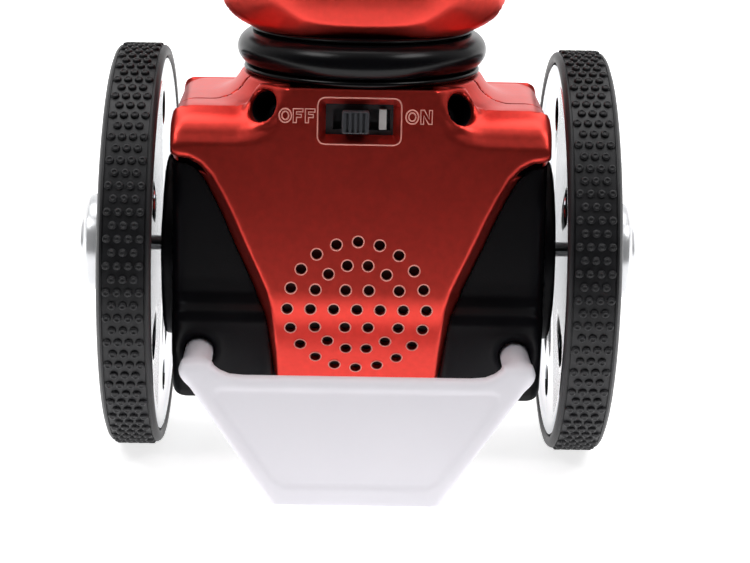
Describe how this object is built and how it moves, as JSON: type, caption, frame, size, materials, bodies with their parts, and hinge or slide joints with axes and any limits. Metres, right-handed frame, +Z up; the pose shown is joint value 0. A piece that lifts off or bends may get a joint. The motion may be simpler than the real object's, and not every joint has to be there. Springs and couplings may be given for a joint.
{
  "type": "two-wheel balancing robot car",
  "caption": "Balancing robot car with two large studded wheels, a turning torso with head and arms, a rear switch and speaker, and a plug-in stand.",
  "frame": {"origin": "on the floor, in the middle of the object's bounding box", "axes": "+Z up, +Y towards the robot's front, +X along the wheels' axle towards its right wheel as seen from behind"},
  "size_m": [0.191, 0.14, 0.257],
  "materials": {
    "red_shell": "satin metallic red paint on moulded plastic",
    "black_housing": "black, softly textured",
    "waist_rubber": "glossy black",
    "visor_plastic": "glossy black",
    "tyre_rubber": "matte dark grey rubber",
    "chrome_plating": "chrome plating on moulded plastic",
    "white_plastic": "satin white",
    "dark_plastic": "dark grey",
    "steel": "plain steel",
    "brass": "plain brass",
    "circuit_board": "green lacquer",
    "battery_wrap": "blue shrink wrap",
    "speaker_paper": "black paper",
    "lens": "tinted and glossy"
  },
  "bodies": {
    "chassis": {"lower_rear_cover": "red_shell", "lower_front_cover": "red_shell", "front_sensor_lens": "lens", "left_side_housing": "black_housing", "right_side_housing": "black_housing", "left_motor": "steel", "right_motor": "steel", "left_motor_bracket": "dark_plastic", "right_motor_bracket": "dark_plastic", "left_axle_bush": "brass", "right_axle_bush": "brass", "left_cover_screw": "steel", "right_cover_screw": "steel", "battery_pack": "battery_wrap", "battery_door": "black_housing", "chassis_tray": "black_housing", "main_board": "circuit_board", "speaker_basket": "dark_plastic", "speaker_cone": "speaker_paper", "speaker_magnet": "steel", "switch_body": "dark_plastic", "switch_contact": "steel", "neck_post": "dark_plastic", "lower_waist_ring": "waist_rubber", "waist_ring": "waist_rubber"},
    "stand": {"stand": "white_plastic"},
    "switch_slider": {"switch_slider": "dark_plastic"},
    "torso": {"upper_neck": "waist_rubber", "torso_frame": "dark_plastic", "torso_rear_shell": "red_shell", "torso_front_shell": "red_shell", "chest_panel": "black_housing"},
    "head": {"head_rear_shell": "red_shell", "head_front_shell": "red_shell", "visor": "visor_plastic", "left_eye": "lens", "right_eye": "lens", "left_ear_cap": "black_housing", "right_ear_cap": "black_housing"},
    "left_wheel": {"left_tyre": "tyre_rubber", "left_rim": "black_housing", "left_inner_disc": "chrome_plating", "left_hub_cap": "chrome_plating", "left_axle": "steel", "left_drive_gear": "white_plastic"},
    "left_pinion_shaft": {"left_pinion": "brass"},
    "left_upper_arm": {"left_upper_arm": "red_shell"},
    "left_forearm": {"left_forearm": "black_housing", "left_hand": "white_plastic"},
    "right_wheel": {"right_tyre": "tyre_rubber", "right_rim": "black_housing", "right_inner_disc": "chrome_plating", "right_hub_cap": "chrome_plating", "right_axle": "steel", "right_drive_gear": "white_plastic"},
    "right_pinion_shaft": {"right_pinion": "brass"},
    "right_upper_arm": {"right_upper_arm": "red_shell"},
    "right_forearm": {"right_forearm": "black_housing", "right_hand": "white_plastic"}
  },
  "joints": [
    {"name": "stand_pull", "type": "slide", "parent": "chassis", "child": "stand", "axis": [0, -1, 0], "range_m": [0, 0.03]},
    {"name": "switch_slide", "type": "slide", "parent": "chassis", "child": "switch_slider", "axis": [1, 0, 0], "range_m": [0, 0.003]},
    {"name": "waist_turn", "type": "hinge", "parent": "chassis", "child": "torso", "pos_m": [0, -0.004, 0.1313], "axis": [0, 0, 1], "range_deg": [-60, 60]},
    {"name": "head_turn", "type": "hinge", "parent": "torso", "child": "head", "pos_m": [0, -0.004, 0.216], "axis": [0, 0, 1], "range_deg": [-60, 60]},
    {"name": "left_wheel_spin", "type": "hinge", "parent": "chassis", "child": "left_wheel", "pos_m": [0, 0.001, 0.069], "axis": [1, 0, 0], "continuous": true},
    {"name": "left_pinion_spin", "type": "hinge", "parent": "chassis", "child": "left_pinion_shaft", "pos_m": [0, -0.0205, 0.07966], "axis": [1, 0, 0], "continuous": true},
    {"name": "left_shoulder_turn", "type": "hinge", "parent": "torso", "child": "left_upper_arm", "pos_m": [0, -0.004, 0.192], "axis": [1, 0, 0], "range_deg": [-25, 110]},
    {"name": "left_elbow_bend", "type": "hinge", "parent": "left_upper_arm", "child": "left_forearm", "pos_m": [0, -0.004, 0.17], "axis": [1, 0, 0], "range_deg": [0, 75]},
    {"name": "right_wheel_spin", "type": "hinge", "parent": "chassis", "child": "right_wheel", "pos_m": [0, 0.001, 0.069], "axis": [1, 0, 0], "continuous": true},
    {"name": "right_pinion_spin", "type": "hinge", "parent": "chassis", "child": "right_pinion_shaft", "pos_m": [0, -0.0205, 0.07966], "axis": [1, 0, 0], "continuous": true},
    {"name": "right_shoulder_turn", "type": "hinge", "parent": "torso", "child": "right_upper_arm", "pos_m": [0, -0.004, 0.192], "axis": [1, 0, 0], "range_deg": [-25, 110]},
    {"name": "right_elbow_bend", "type": "hinge", "parent": "right_upper_arm", "child": "right_forearm", "pos_m": [0, -0.004, 0.17], "axis": [1, 0, 0], "range_deg": [0, 75]}
  ],
  "couplings": [
    {"joint": "left_pinion_spin", "follows": "left_wheel_spin", "ratio": -3},
    {"joint": "right_pinion_spin", "follows": "right_wheel_spin", "ratio": -3}
  ]
}
